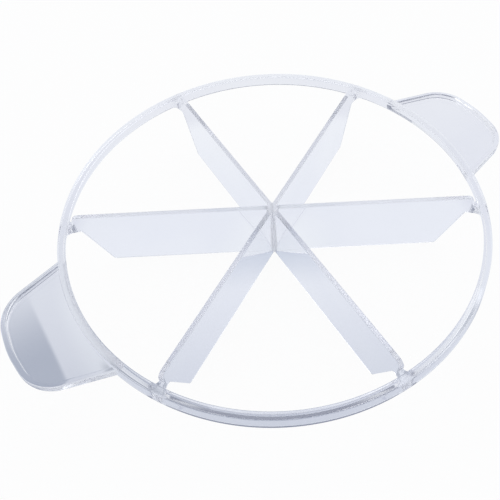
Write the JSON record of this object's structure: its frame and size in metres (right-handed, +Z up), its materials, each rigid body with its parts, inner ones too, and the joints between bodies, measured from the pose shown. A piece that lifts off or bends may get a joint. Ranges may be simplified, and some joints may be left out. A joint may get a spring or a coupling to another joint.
{
  "type": "pie slice cutter",
  "caption": "Clear plastic pie slice cutter: radial blades with sloped ends inside a hoop that rests on a pie pan's rim, with handles at its sides.",
  "frame": {"origin": "on the cutter's axis, at the level of the blades' cutting edges, which it stands on", "axes": "+Z up, from the cutting edges to the hoop and along the cutter's axis; +X through the two handles; +Y level, along two of the blades"},
  "size_m": [0.3116, 0.2414, 0.0408],
  "materials": {
    "clear_plastic": "clear moulded plastic with a faint cool tint, polished and smooth"
  },
  "bodies": {
    "root": {"rim_hoop": "clear_plastic", "hub_core": "clear_plastic", "blade_1": "clear_plastic", "blade_2": "clear_plastic", "blade_3": "clear_plastic", "blade_4": "clear_plastic", "blade_5": "clear_plastic", "blade_6": "clear_plastic", "handle_plate_right": "clear_plastic", "handle_border_right": "clear_plastic", "handle_plate_left": "clear_plastic", "handle_border_left": "clear_plastic"}
  },
  "joints": []
}
